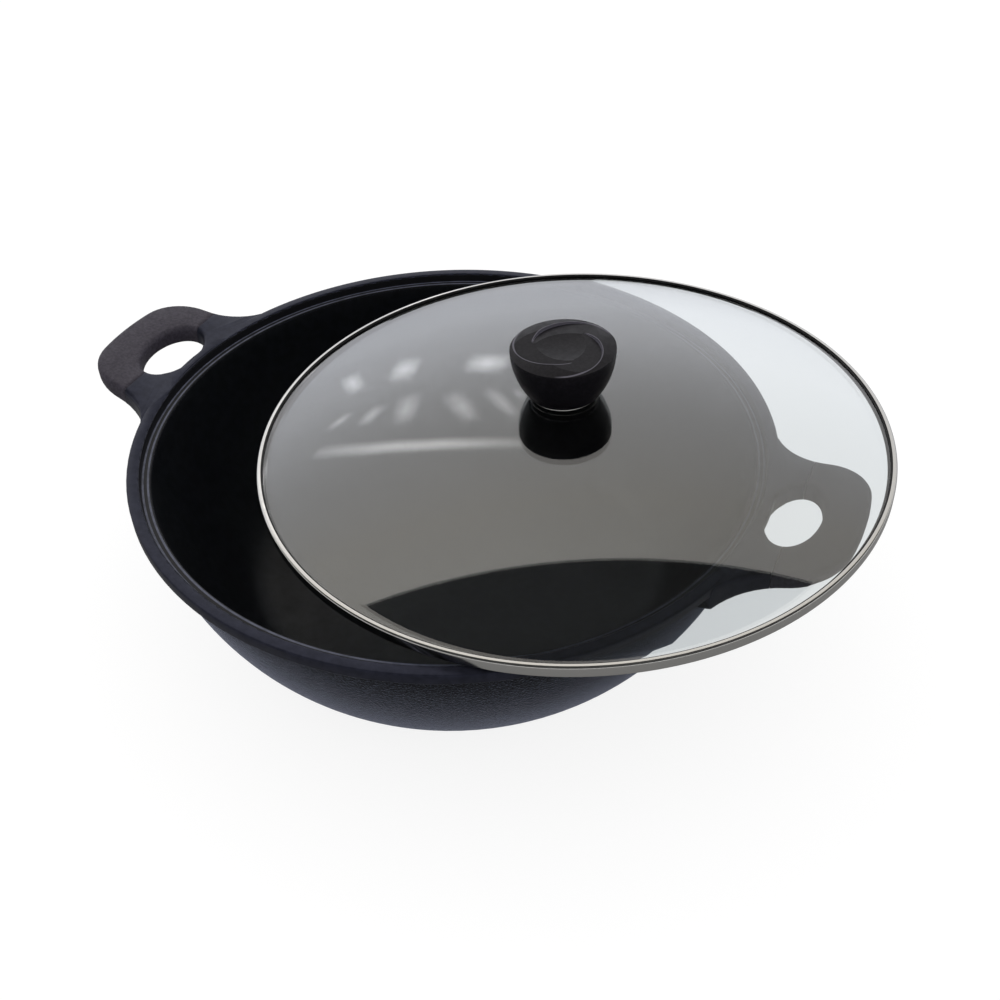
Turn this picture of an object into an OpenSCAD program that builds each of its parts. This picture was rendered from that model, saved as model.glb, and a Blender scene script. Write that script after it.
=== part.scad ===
// Two-ear cast wok with a domed glass lid that leans on its rim.
// The base stands on z = 0 with the bowl's axis on z, and the ears point along +X and -X.

/* [Pan] */
// Diameter over the rim flange
rim_d = 340; // [260:1:420]
// Height from the base to the top of the rim
pan_h = 104; // [80:1:120]
// Thickness of the bowl's wall
wall_t = 4.4; // [3:0.1:6]
// Thickness of the bowl's floor
floor_t = 5; // [3.5:0.1:8]
// Radius of the wall's outward bow, seen in section
wall_bow = 149; // [135:1:180]
// Lean of the wall just under the flange, in degrees
wall_lean = 4.4; // [1:0.1:8]
// How far the wall stands inside the flange's edge
flange_out = 7; // [4:0.5:10]
// Height of the flange's edge
flange_h = 6; // [4:0.5:9]
// Width of the flat land on top of the rim
land_w = 6; // [4.5:0.1:7]
// Depth of the seat that the lid drops into
seat_depth = 4.7; // [3:0.1:6]
// Radius of the outer corner between wall and base
base_round = 20; // [12:1:26]
// Radius of the inner corner between wall and floor
floor_round = 24; // [14:1:30]
// Radius on the pan's turned edges
edge_r = 0.9; // [0.4:0.1:1.2]
// Radius under the flange
neck_r = 2.5; // [1:0.1:4]

/* [Base] */
// Number of turned grooves in the base
groove_count = 6; // [3:1:8]
// Width of a groove
groove_w = 2.2; // [1:0.1:4]
// Depth of a groove
groove_depth = 0.5; // [0.3:0.1:1]
// Distance between grooves
groove_pitch = 13; // [9:0.5:13]

/* [Ears] */
// Distance from the rim's edge to the joint of arm and grip
joint_out = 11.5; // [9:0.5:14]
// Width of the grip's bar, from the finger hole to the ear's end
bar_w = 20; // [17:0.5:26]
// Width of an ear across its grip
ear_w = 86.4; // [80:0.2:96]
// Radius of the ear's outer end
ear_end_r = 150; // [110:1:200]
// Radius of the ear's two corners
ear_corner_r = 26; // [18:0.5:30]
// Radius of the hollow flank between rim and grip
ear_flank_r = 36; // [26:0.5:44]
// Rise of the ear's top, in degrees
ear_rise = 10.8; // [6:0.1:14]
// Taper of the ear's underside against its top, in degrees
ear_taper = 5.5; // [2:0.1:8]
// Height of the ear's top over the rim at the flange's edge
ear_step = 1.4; // [0.4:0.1:2]
// Thickness of the ear at that joint
joint_t = 11.8; // [10.5:0.1:14]
// Width of the finger hole, away from the bowl
hole_w = 26; // [22:0.5:28]
// Width of the ear beside each end of the finger hole
arm_w = 19.6; // [16:0.2:22]
// Radius on the ear's edges
ear_edge_r = 3; // [1.5:0.1:4]

/* [Grip fixing] */
// Length of the tongue that a grip slides onto
tongue_l = 14; // [11:0.5:16]
// Width of a tongue
tongue_w = 9; // [7.5:0.5:11]
// Thickness of a tongue
tongue_t = 4.4; // [3.6:0.1:5]
// Thread diameter of a grip screw
grip_screw_d = 4; // [3:0.5:4.5]
// Head diameter of a grip screw
grip_head_d = 7.4; // [6:0.1:8.5]
// Head height of a grip screw
grip_head_h = 1.8; // [1.2:0.1:2]

/* [Lid] */
// Play all round between the lid and the seat that it closes on
lid_play = 1; // [0.5:0.1:2]
// Thickness of the glass
glass_t = 4; // [3:0.1:5]
// Rise of the glass from its flat margin to its crown
dome_h = 24.4; // [16:0.2:34]
// Width of the glass's flat margin
margin_w = 4.8; // [4:0.1:7]
// Diameter of the hole for the knob's screw
glass_hole_d = 10; // [9:0.1:12]
// Thickness of the steel band
band_t = 0.6; // [0.4:0.1:0.9]
// Width of the band's lip over the glass
band_lip = 2.3; // [1.8:0.1:3]
// Width of the band's lip under the glass
band_foot = 4.6; // [3:0.1:5]
// Radius of the band's rolled edges
band_roll = 1.3; // [0.8:0.1:1.5]
// Thickness of the black seal round the glass
seal_t = 0.6; // [0.4:0.1:0.9]
// Width of seal that shows inside the band's lip
seal_show = 0.8; // [0.6:0.1:1.5]

/* [Knob] */
// Greatest diameter of the knob
knob_d = 53; // [44:0.5:60]
// Height from the knob's foot to its widest edge
knob_h = 24.6; // [20:0.2:30]
// Radius of the knob's bowed side
knob_bow = 42; // [34:1:60]
// Height of the crown over the widest edge
crown_h = 3.4; // [2.6:0.1:4.5]
// Number of crescents in the swirl on top
swirl_count = 3; // [2:1:5]
// Diameter of each crescent's cut
swirl_d = 41; // [36:0.5:44]
// Tilt of each crescent's cut, in degrees
swirl_tilt = 5; // [3:0.5:7]
// Diameter of the dimple in the middle
dimple_d = 34; // [24:0.5:36]
// Depth of the dimple
dimple_depth = 1.8; // [0.8:0.1:2.4]

/* [Knob fixing] */
// How far the knob stands off the middle of the glass, towards the lid's low side
knob_out = 3; // [0:0.5:5]
// Diameter of the steel collar under the knob
collar_d = 35; // [32:0.5:38]
// Height of the collar
collar_h = 1.6; // [1:0.1:2.4]
// Diameter of the gasket over the glass
gasket_d = 31; // [24:0.5:32]
// Thickness of the gasket over the glass
gasket_t = 0.8; // [0.6:0.1:1.5]
// Diameter of the gasket under the glass
pad_d = 22; // [18:0.5:26]
// Thickness of the gasket under the glass
pad_t = 1.2; // [0.8:0.1:2]
// Diameter of the steel washer
washer_d = 16; // [14:0.5:17]
// Thickness of the steel washer
washer_t = 1; // [0.8:0.1:1.6]
// Thread diameter of the knob's screw
knob_screw_d = 5; // [4:0.5:6]
// Length of thread inside the knob
thread_in = 9; // [7:0.5:11]
// Diameter of the knob's threaded insert
insert_d = 9; // [8:0.5:12]
// Length of the threaded insert
insert_l = 12; // [11.5:0.5:14]

/* [Lid at rest] */
// How far the lid lies off the bowl's axis
lid_shift = 62.5; // [58:0.5:66]
// Direction in which the lid lies off, in degrees from +X
lid_turn = 14; // [8:0.1:18]
// Turn of the knob's swirl on the lid, in degrees
swirl_turn = 40; // [0:5:120]

/* [Clearance] */
// Gap between the resting lid and the pan
rest_gap = 0.3; // [0.2:0.05:0.4]
// Gap in the joint between an arm and its grip
joint_gap = 0.3; // [0.2:0.05:0.4]
// Gap round a tongue in its slot
slot_gap = 0.15; // [0.1:0.05:0.2]
// Gap round a screw in its hole
screw_gap = 0.05; // [0.03:0.01:0.08]

/* [Hidden] */
$fn = 96;
// Overrun of a cutting shape past the face that it opens
cut = 1;
// Colours of the finishes
coat_colour = "#3a3a42";
grip_colour = "#2b282c";
steel_colour = "#b9bcbf";
glass_colour = "#c8d2d666";
rubber_colour = "#141416";
brass_colour = "#b59a55";

// Pan: radii of the section and the centre of the wall's bow
rim_r = rim_d / 2;
wall_r = rim_r - flange_out;
neck_z = pan_h - flange_h;
bow_c = [wall_r - wall_bow * cos(wall_lean), neck_z + wall_bow * sin(wall_lean)];
ledge_z = pan_h - seat_depth;
inner_bow = wall_bow - wall_t;
ledge_r = bow_c.x + sqrt(inner_bow ^ 2 - (bow_c.y - ledge_z) ^ 2);
seat_r = rim_r - land_w;
seat_draft_share = 0.15;
groove_start = 2 * groove_pitch;

// Ear: centres of the arcs of its outline, in the half where y is positive
joint_x = rim_r + joint_out;
ear_reach = joint_x + hole_w / 2 + bar_w;
hole_l = ear_w - 2 * arm_w;
rise = tan(ear_rise);
fall = tan(ear_rise + ear_taper);
end_c = [ear_reach - ear_end_r, 0];
corner_y = ear_w / 2 - ear_corner_r;
corner_c = [end_c.x + sqrt((ear_end_r - ear_corner_r) ^ 2 - corner_y ^ 2), corner_y];
flank_c = far_meet(rim_r + ear_flank_r, corner_c, ear_corner_r + ear_flank_r);
end_angle = atan2(corner_c.y - end_c.y, corner_c.x - end_c.x);
flank_angle = atan2(flank_c.y - corner_c.y, flank_c.x - corner_c.x);
rim_angle = atan2(flank_c.y, flank_c.x);
root_r = wall_r - land_w;
end_steps = 4;
corner_steps = 11;
flank_steps = 9;
root_steps = 7;
edge_steps = 4;
ear_outline = concat(
    arc(end_c, ear_end_r, 0, end_angle, end_steps),
    arc(corner_c, ear_corner_r, end_angle, flank_angle, corner_steps),
    arc(flank_c, ear_flank_r, flank_angle + 180, rim_angle + 180, flank_steps),
    arc([0, 0], root_r, rim_angle, 0, root_steps));
half_count = len(ear_outline);
ear_loop = concat(ear_outline, [for (i = [half_count - 2:-1:1]) [ear_outline[i].x, -ear_outline[i].y]]);

// Tongues and their screws, measured along the ear's middle plane
flank_at_joint = flank_c.y - sqrt(ear_flank_r ^ 2 - (joint_x - flank_c.x) ^ 2);
tongue_y = (hole_l / 2 + flank_at_joint) / 2;
mid_slope = atan((rise + fall) / 2);
joint_z = (ear_top(joint_x) + ear_under(joint_x)) / 2;
screw_along = tongue_l / 2;
skin_at_screw = ear_half(screw_along) - tongue_t / 2;
thread_r = grip_screw_d / 2;
recess_share = 0.55;

// Lid: heights are measured from the underside of its band
lid_r = seat_r - lid_play;
band_h = glass_t + 2 * (band_t + seal_t);
glass_r = lid_r - band_t - seal_t;
glass_low = band_t + seal_t;
margin_top = glass_low + glass_t;
dome_r = glass_r - margin_w;
dome_bow = (dome_r ^ 2 + dome_h ^ 2) / (2 * dome_h);
dome_cz = margin_top + dome_h - dome_bow;
crown_z = margin_top + dome_h;
roll_steps = 5;

// Knob stack, upwards from the glass and downwards below it
collar_z = crown_z + gasket_t;
foot_z = collar_z + collar_h;
edge_z = foot_z + knob_h;
knob_tilt = asin(knob_out / dome_bow);
knob_r = knob_d / 2;
foot_r = knob_r - knob_bow + sqrt(knob_bow ^ 2 - knob_h ^ 2);
crown_bow = (knob_r ^ 2 + crown_h ^ 2) / (2 * crown_h);
dimple_bow = (dimple_d ^ 2 / 4 + dimple_depth ^ 2) / (2 * dimple_depth);
// Width of crown that a crescent's cut leaves at the knob's edge, and the height that it is cut to
swirl_land = 0.5;
swirl_floor = crown_h / 2;
swirl_shift = knob_r - swirl_land - swirl_d / 2;
pad_z = glass_under(pad_d / 2) - pad_t;
washer_z = pad_z - washer_t;
screw_r = knob_screw_d / 2;
head_d_share = 1.8;
head_h_share = 0.55;
socket_share = 0.8;

// Lid at rest: it pivots on the land's inner edge and leans back on the right ear
pivot = (lid_shift ^ 2 + seat_r ^ 2 - lid_r ^ 2) / (2 * lid_shift);
grip_points = [for (ring = ear_rings()) for (p = ring) if (p.x > joint_x) p];
lid_slope = max([for (p = grip_points) slope_over(p)]);
lid_lean = atan(lid_slope);
lid_z = pan_h + rest_gap + (lid_shift - pivot) * lid_slope;

// Points of an arc, in steps, from one angle to another
function arc(c, r, from, to, steps) =
    [for (i = [0:steps - 1]) let (a = from + (to - from) * i / steps) c + r * [cos(a), sin(a)]];

// The point at r_a from the axis and at r_b from the point b, on the side away from the ear's middle
function far_meet(r_a, b, r_b) =
    let (d = norm(b), along = (r_a ^ 2 - r_b ^ 2 + d ^ 2) / (2 * d), off = sqrt(r_a ^ 2 - along ^ 2))
    b * along / d + off * [-b.y, b.x] / d;

// Heights of the ear's top and underside at a distance from the bowl's axis
function ear_top(x) = pan_h + ear_step + rise * (x - rim_r);
function ear_under(x) = ear_top(joint_x) - joint_t + fall * (x - joint_x);

// Half of the ear's thickness at a distance along its middle plane from the joint
function ear_half(along) =
    let (x = joint_x + along * cos(mid_slope)) (ear_top(x) - ear_under(x)) / 2 * cos(mid_slope);

// The point of the finger hole's oval that faces an outline point, seen from the hole's middle
function hole_point(p) =
    let (a = atan2(p.y, p.x - joint_x), w = hole_w / 2, l = hole_l / 2)
    [joint_x, 0] + w * l / sqrt((l * cos(a)) ^ 2 + (w * sin(a)) ^ 2) * [cos(a), sin(a)];

// One section of the ear: a box with round edges between the hole and the outline
function ear_section(p) =
    let (q = hole_point(p), span = norm(p - q))
    [for (corner = [0:3]) for (i = [0:edge_steps])
        let (a = corner * 90 + i * 90 / edge_steps,
            over = corner == 0 || corner == 3 ? span - ear_edge_r : ear_edge_r,
            across = over + ear_edge_r * cos(a),
            at = q + (p - q) * across / span,
            low = ear_under(at.x), high = ear_top(at.x),
            side = corner < 2 ? high - ear_edge_r : low + ear_edge_r)
        [at.x, at.y, side + ear_edge_r * sin(a)]];
function ear_rings() = [for (p = ear_loop) ear_section(p)];

// Faces of a closed loop of rings
function loop_faces(rings, n) =
    [for (i = [0:rings - 1]) for (j = [0:n - 1])
        let (k = (i + 1) % rings, m = (j + 1) % n,
            a = i * n + j, b = i * n + m, c = k * n + m, d = k * n + j)
        each [[a, b, c], [a, c, d]]];

// Height of the glass's underside at a radius, over the underside of the band
function glass_under(r) = dome_cz + sqrt((dome_bow - glass_t) ^ 2 - r ^ 2);
function lid_under(r) = r > dome_r ? glass_low : max(glass_low, glass_under(r));

// Lean that just lets the lid clear a point of the ear
function slope_over(p) =
    let (c = lid_shift * [cos(lid_turn), sin(lid_turn)], r = norm([p.x, p.y] - c),
        ahead = p.x * cos(lid_turn) + p.y * sin(lid_turn) - pivot)
    r > lid_r ? 0 : (p.z - pan_h - lid_under(r)) / ahead;

// Section of the bowl's outside or inside, up to a height
module bowl_section(bow, low, corner, top) {
    corner_c = [bow_c.x + sqrt((bow - corner) ^ 2 - (bow_c.y - low - corner) ^ 2), low + corner];
    reach = 2 * bow * (corner_c - bow_c) / norm(corner_c - bow_c);
    intersection() {
        translate([0, low])
            square([rim_r, top - low]);
        union() {
            polygon([[0, low], [corner_c.x, low], corner_c, bow_c, [0, bow_c.y]]);
            translate(corner_c)
                circle(corner);
            intersection() {
                translate(bow_c)
                    circle(bow);
                polygon([bow_c, bow_c + reach, [bow_c.x + 2 * bow, low], [bow_c.x + 2 * bow, bow_c.y]]);
            }
        }
    }
}

// A box in section whose four corners are round
module round_box(x, z, w, h, r) {
    translate([x + r, z])
        square([w - 2 * r, h]);
    translate([x, z + r])
        square([w, h - 2 * r]);
    for (cx = [x + r, x + w - r])
        for (cz = [z + r, z + h - r])
            translate([cx, cz])
                circle(r);
}

// The sliver that rounds a top edge when it is cut away, left of x and below z
module edge_cutter(x, z, r) {
    difference() {
        translate([x - cut, z - r])
            square([r + cut, r + cut]);
        translate([x + r, z - r])
            circle(r);
        translate([x + r, z - r - cut])
            square([cut, r + 2 * cut]);
    }
}

module bowl_outside() {
    rotate_extrude() {
        bowl_section(wall_bow, 0, base_round, pan_h - flange_h / 2);
        round_box(ledge_r - cut, neck_z, rim_r - ledge_r + cut, flange_h, edge_r);
        difference() {
            translate([wall_r - neck_r, neck_z - neck_r])
                square([2 * neck_r, neck_r + edge_r]);
            translate([wall_r + neck_r, neck_z - neck_r])
                circle(neck_r);
        }
    }
}

module bowl_inside() {
    draft = seat_draft_share * seat_depth;
    rotate_extrude() {
        bowl_section(inner_bow, floor_t, floor_round, ledge_z + cut / 2);
        polygon([[0, ledge_z], [seat_r - draft, ledge_z], [seat_r, pan_h], [seat_r, pan_h + 2 * ear_step + cut],
            [0, pan_h + 2 * ear_step + cut]]);
        edge_cutter(ledge_r, ledge_z, edge_r);
        edge_cutter(seat_r, pan_h, edge_r);
    }
}

module base_grooves() {
    for (i = [0:groove_count - 1])
        rotate_extrude()
            translate([groove_start + i * groove_pitch, -cut])
                square([groove_w, groove_depth + cut]);
}

// The whole ear as one loop, before it is split into arms and grip
module ear_solid() {
    rings = ear_rings();
    polyhedron(points = [for (ring = rings) each ring], faces = loop_faces(len(rings), len(rings[0])));
}

// The half of space beyond the joint, or before it, in which one part of the ear is kept
module beyond_joint(side) {
    span = ear_reach;
    start = joint_x + side * joint_gap / 2;
    translate([side > 0 ? start : start - span, -span / 2, 0])
        cube([span, span, 2 * pan_h]);
}

// A bar on the ear's middle plane, grown by a gap, that runs from inside the arm into the grip
module tongue_bar(gap) {
    for (side = [-1, 1])
        translate([joint_x, side * tongue_y, joint_z])
            rotate([0, -mid_slope, 0])
                translate([-tongue_w, -tongue_w / 2 - gap, -tongue_t / 2 - gap])
                    cube([tongue_w + tongue_l + gap, tongue_w + 2 * gap, tongue_t + 2 * gap]);
}

// Both screw places of an ear: children are drawn with the screw's axis up, from the tongue's middle
module at_ear_screws() {
    for (side = [-1, 1])
        translate([joint_x, side * tongue_y, joint_z])
            rotate([0, -mid_slope, 0])
                translate([screw_along, 0, 0])
                    children();
}

module arms() {
    intersection() {
        ear_solid();
        beyond_joint(-1);
    }
    tongue_bar(0);
}

module both_ears() {
    for (turn = [0, 180])
        rotate([0, 0, turn])
            children();
}

module pan_body() {
    color(coat_colour)
        difference() {
            union() {
                bowl_outside();
                both_ears()
                    arms();
            }
            bowl_inside();
            base_grooves();
            both_ears()
                at_ear_screws()
                    cylinder(r = thread_r, h = 2 * tongue_t, center = true);
        }
}

module grip() {
    head_seat = tongue_t / 2 + skin_at_screw - grip_head_h;
    color(grip_colour)
        difference() {
            intersection() {
                ear_solid();
                beyond_joint(1);
            }
            tongue_bar(slot_gap);
            at_ear_screws() {
                translate([0, 0, -tongue_t - skin_at_screw])
                    cylinder(r = thread_r + screw_gap, h = tongue_t + skin_at_screw);
                translate([0, 0, -head_seat - 2 * grip_head_h])
                    cylinder(d = grip_head_d + 2 * screw_gap, h = 2 * grip_head_h);
            }
        }
}

module grip_screws() {
    head_seat = tongue_t / 2 + skin_at_screw - grip_head_h;
    color(steel_colour)
        at_ear_screws()
            difference() {
                union() {
                    translate([0, 0, -head_seat])
                        cylinder(r = thread_r - screw_gap, h = head_seat + tongue_t / 2);
                    translate([0, 0, -head_seat - grip_head_h])
                        cylinder(d = grip_head_d, h = grip_head_h);
                }
                translate([0, 0, -head_seat - grip_head_h])
                    cross_recess(grip_head_d, grip_head_h);
            }
}

// A cross recess in a screw's head that faces down
module cross_recess(head_d, head_h) {
    long = head_d * recess_share;
    short = long / 4;
    for (turn = [0, 90])
        rotate([0, 0, turn])
            translate([-long / 2, -short / 2, -cut])
                cube([long, short, cut + head_h * recess_share]);
}

module grip_left() {
    rotate([0, 0, 180])
        grip();
}

module grip_right() {
    grip();
}

module grip_screws_left() {
    rotate([0, 0, 180])
        grip_screws();
}

module grip_screws_right() {
    grip_screws();
}

// Places a piece drawn about the lid's own axis on the leaning lid
module on_lid() {
    rotate([0, 0, lid_turn])
        translate([lid_shift, 0, lid_z])
            rotate([0, -lid_lean, 0])
                rotate([0, 0, -lid_turn])
                    children();
}

// Places a piece of the knob stack, which stands square to the glass beside its middle
module on_crown() {
    on_lid()
        rotate([0, 0, lid_turn + 180])
            translate([0, 0, dome_cz])
                rotate([0, knob_tilt, 0])
                    translate([0, 0, -dome_cz])
                        rotate([0, 0, -lid_turn - 180])
                            children();
}

// A disc or ring about the lid's axis, between two heights
module ring(outer_d, inner_d, low, h) {
    translate([0, 0, low])
        difference() {
            cylinder(d = outer_d, h = h);
            if (inner_d > 0)
                translate([0, 0, -cut])
                    cylinder(d = inner_d, h = h + 2 * cut);
        }
}

// Section of the glass: a flat margin and a dome of even thickness
module glass_section() {
    difference() {
        union() {
            translate([0, glass_low])
                square([glass_r, glass_t]);
            intersection() {
                translate([0, dome_cz])
                    circle(dome_bow);
                translate([0, glass_low])
                    square([dome_r, glass_t + dome_h]);
            }
        }
        translate([0, dome_cz])
            circle(dome_bow - glass_t);
    }
}

module lid_glass() {
    color(glass_colour)
        difference() {
            on_lid()
                rotate_extrude($fn = 180)
                    glass_section();
            on_crown()
                translate([0, 0, crown_z - 2 * glass_t])
                    cylinder(d = glass_hole_d, h = 3 * glass_t);
        }
}

// Section of the steel band: a strip rolled round the edge of the glass
module band_section() {
    roll_x = lid_r - band_roll;
    polygon(concat(
        arc([roll_x, band_roll], band_roll, -90, 0, roll_steps),
        [[lid_r, band_roll]],
        arc([roll_x, band_h - band_roll], band_roll, 0, 90, roll_steps),
        [[roll_x, band_h], [lid_r - band_lip, band_h], [lid_r - band_lip, band_h - band_t],
            [lid_r - band_t, band_h - band_t], [lid_r - band_t, band_t],
            [lid_r - band_foot, band_t], [lid_r - band_foot, 0]]));
}

module lid_band() {
    color(steel_colour)
        on_lid()
            rotate_extrude($fn = 180)
                band_section();
}

module lid_seal() {
    seal_r = lid_r - band_t;
    top_w = band_lip - band_t + seal_show;
    foot_w = band_foot - band_t;
    color(rubber_colour)
        on_lid()
            rotate_extrude($fn = 180) {
                translate([glass_r, band_t])
                    square([seal_t, band_h - 2 * band_t]);
                translate([seal_r - top_w, margin_top])
                    square([top_w, seal_t]);
                translate([seal_r - foot_w, band_t])
                    square([foot_w, seal_t]);
            }
}

// Section of the knob: a bowed side that widens to its edge, and a low crown
module knob_section() {
    side_c = [knob_r - knob_bow, edge_z];
    crown_cz = edge_z + crown_h - crown_bow;
    intersection() {
        translate([0, foot_z])
            square([knob_r, knob_h + crown_h]);
        translate(side_c)
            circle(knob_bow);
        translate([0, crown_cz])
            circle(crown_bow);
    }
}

// The crescent cuts: a flat-ended cutter, tilted and set off the axis, repeated round it
module swirl_cuts() {
    for (i = [0:swirl_count - 1])
        rotate([0, 0, swirl_turn + i * 360 / swirl_count])
            translate([swirl_shift, 0, edge_z + swirl_floor])
                rotate([-swirl_tilt, 0, 0])
                    cylinder(d = swirl_d, h = knob_h);
}

module knob() {
    color(grip_colour)
        on_crown()
            difference() {
                rotate_extrude()
                    knob_section();
                swirl_cuts();
                translate([0, 0, edge_z + swirl_floor - dimple_depth + dimple_bow])
                    sphere(dimple_bow);
                translate([0, 0, foot_z - cut])
                    cylinder(d = insert_d, h = insert_l + cut);
            }
}

module knob_insert() {
    color(brass_colour)
        on_crown()
            ring(insert_d, knob_screw_d, foot_z, insert_l);
}

module knob_collar() {
    color(steel_colour)
        on_crown()
            difference() {
                rotate_extrude()
                    round_box(0, collar_z, collar_d / 2, collar_h, collar_h / 4);
                translate([0, 0, collar_z - cut])
                    cylinder(r = screw_r + screw_gap, h = collar_h + 2 * cut);
            }
}

module knob_gasket() {
    color(rubber_colour)
        on_crown()
            difference() {
                union() {
                    ring(gasket_d, 0, crown_z, gasket_t);
                    ring(glass_hole_d - 2 * slot_gap, 0, crown_z - glass_t, glass_t + gasket_t);
                }
                translate([0, 0, crown_z - glass_t - cut])
                    cylinder(r = screw_r + screw_gap, h = glass_t + gasket_t + 2 * cut);
            }
}

module glass_pad() {
    color(rubber_colour)
        on_crown()
            ring(pad_d, knob_screw_d + 2 * screw_gap, pad_z, pad_t);
}

module knob_washer() {
    color(steel_colour)
        on_crown()
            ring(washer_d, knob_screw_d + 2 * screw_gap, washer_z, washer_t);
}

module knob_screw() {
    head_d = knob_screw_d * head_d_share;
    head_h = knob_screw_d * head_h_share;
    color(steel_colour)
        on_crown()
            difference() {
                union() {
                    ring(head_d, 0, washer_z - head_h, head_h);
                    ring(knob_screw_d - 2 * screw_gap, 0, washer_z, foot_z + thread_in - washer_z);
                }
                translate([0, 0, washer_z - head_h])
                    cross_recess(head_d * socket_share, head_h);
            }
}

pan_body();
grip_left();
grip_right();
grip_screws_left();
grip_screws_right();
lid_glass();
lid_band();
lid_seal();
knob();
knob_insert();
knob_collar();
knob_gasket();
glass_pad();
knob_washer();
knob_screw();
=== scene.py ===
# %% [markdown]
# # A two-ear wok with a domed glass lid
# The wok is one aluminium casting under a dark non-stick coat, with a moulded grip on each ear.
# Its lid is a tempered glass dome in a rolled steel band, with a moulded knob, and it leans on
# the rim. The construction is already solid and lies in the frame. This script dresses it: it
# models the pieces whose form the eye reads closely, and gives every surface its real finish.

import math

import bpy
from mathutils import Matrix, Vector


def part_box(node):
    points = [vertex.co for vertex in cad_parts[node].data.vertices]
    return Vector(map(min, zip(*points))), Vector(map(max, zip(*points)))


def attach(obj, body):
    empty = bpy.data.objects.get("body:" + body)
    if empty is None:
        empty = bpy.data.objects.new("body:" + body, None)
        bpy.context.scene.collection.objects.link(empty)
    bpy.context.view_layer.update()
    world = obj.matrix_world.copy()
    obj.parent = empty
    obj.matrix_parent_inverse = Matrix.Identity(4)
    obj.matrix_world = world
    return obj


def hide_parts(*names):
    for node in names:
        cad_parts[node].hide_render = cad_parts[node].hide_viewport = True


MM = 0.001

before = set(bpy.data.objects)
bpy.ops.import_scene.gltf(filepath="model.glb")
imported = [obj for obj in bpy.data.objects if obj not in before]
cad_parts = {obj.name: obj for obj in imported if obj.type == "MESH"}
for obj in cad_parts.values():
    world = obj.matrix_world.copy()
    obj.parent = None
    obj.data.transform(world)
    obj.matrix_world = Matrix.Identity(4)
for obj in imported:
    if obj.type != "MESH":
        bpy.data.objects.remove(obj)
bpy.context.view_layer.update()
print("construction pieces:", ", ".join(sorted(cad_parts)))

# %% [markdown]
# ## The camera
# The camera comes first, because everything is compared through it. It looks down at the wok
# from the front right. Its place was worked out from the round rim, the two ears and the round
# lid, so it is a real place in metres, and its tilt and turn are plain angles.

# %% Camera
CAMERA_PLACE = Vector((0.224814, -0.432374, 0.475913))
CAMERA_TURN = math.radians(24.65547)
CAMERA_TILT = math.radians(40.9055)
CAMERA_ROLL = math.radians(-0.763645)
SENSOR_MM = 36
LENS_MM = 41.37


def add_camera():
    """Adds the camera, turned about Z, tilted down and rolled a little."""
    data = bpy.data.cameras.new("camera")
    data.sensor_width = SENSOR_MM
    data.lens = LENS_MM
    camera = bpy.data.objects.new("camera", data)
    bpy.context.scene.collection.objects.link(camera)
    turn = Matrix.Rotation(CAMERA_TURN, 4, "Z")
    tilt = Matrix.Rotation(math.pi / 2 - CAMERA_TILT, 4, "X")
    roll = Matrix.Rotation(CAMERA_ROLL, 4, "Z")
    camera.matrix_world = Matrix.Translation(CAMERA_PLACE) @ turn @ tilt @ roll
    bpy.context.scene.camera = camera


add_camera()
print("camera is", round(CAMERA_PLACE.length, 3), "m from the wok's base")

# %% [markdown]
# ## Colours
# Paint and metal colours are read off as sRGB hex values, but a shader works in linear light, so
# one function turns one into the other.

# %% Linear colours
WHITE = (1, 1, 1, 1)


def linear(hex_colour):
    """The linear colour of an sRGB hex value such as #3a3a42."""
    shares = [int(hex_colour[i : i + 2], 16) / 255 for i in (1, 3, 5)]
    return tuple(c / 12.92 if c <= 0.04045 else ((c + 0.055) / 1.055) ** 2.4 for c in shares) + (1,)


print("#808080 in linear light is", [round(c, 3) for c in linear("#808080")[:3]])

# %% [markdown]
# ## Shader nodes
# A material is a tree of nodes. One small function adds a node: it sets the node's settings, and
# gives each input a value or a link from an earlier node. Every finish below is built with it, so
# a material reads from its pattern to its surface like a list of steps.

# %% Adding a node


def add_node(tree, kind, inputs=None, **settings):
    """Adds a shader node with its settings, and gives each input its value or its link."""
    node = tree.nodes.new("ShaderNode" + kind)
    for name, value in settings.items():
        setattr(node, name, value)
    for name, value in (inputs or {}).items():
        if isinstance(value, bpy.types.Node):
            value = value.outputs[0]
        if isinstance(value, bpy.types.NodeSocket):
            tree.links.new(value, node.inputs[name])
        else:
            node.inputs[name].default_value = value
    return node


def new_material(name):
    """An empty node material and its node tree."""
    material = bpy.data.materials.new(name)
    material.use_nodes = True
    material.node_tree.nodes.clear()
    return material, material.node_tree


def finish_material(material, shader):
    """Puts a shader on the material's surface, and hands the material back."""
    add_node(material.node_tree, "OutputMaterial", {"Surface": shader})
    print(material.name, "has", len(material.node_tree.nodes), "nodes")
    return material


# %% [markdown]
# Patterns are laid on object coordinates, in millimetres, so they keep their real size on every
# piece. No real surface is quite even, and a fine grain is left by most moulds and tools: those
# two are what most finishes here share. A piece that leans has an axis of its own, and a Mapping
# node turns the lean away before its rings are drawn.

# %% Patterns on the pieces
MIDDLE = (0.35, 0.65)


def uneven(tree, size_mm, detail=2, span=MIDDLE, ends=(0, 1)):
    """Soft patches about size_mm wide: a span of the noise's values, spread over the ends."""
    noise = add_node(tree, "TexNoise", {
        "Vector": add_node(tree, "TexCoord").outputs["Object"],
        "Scale": 1 / (size_mm * MM), "Detail": detail})
    return add_node(tree, "MapRange", {
        "Value": noise, "From Min": span[0], "From Max": span[1],
        "To Min": ends[0], "To Max": ends[1]})


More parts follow.
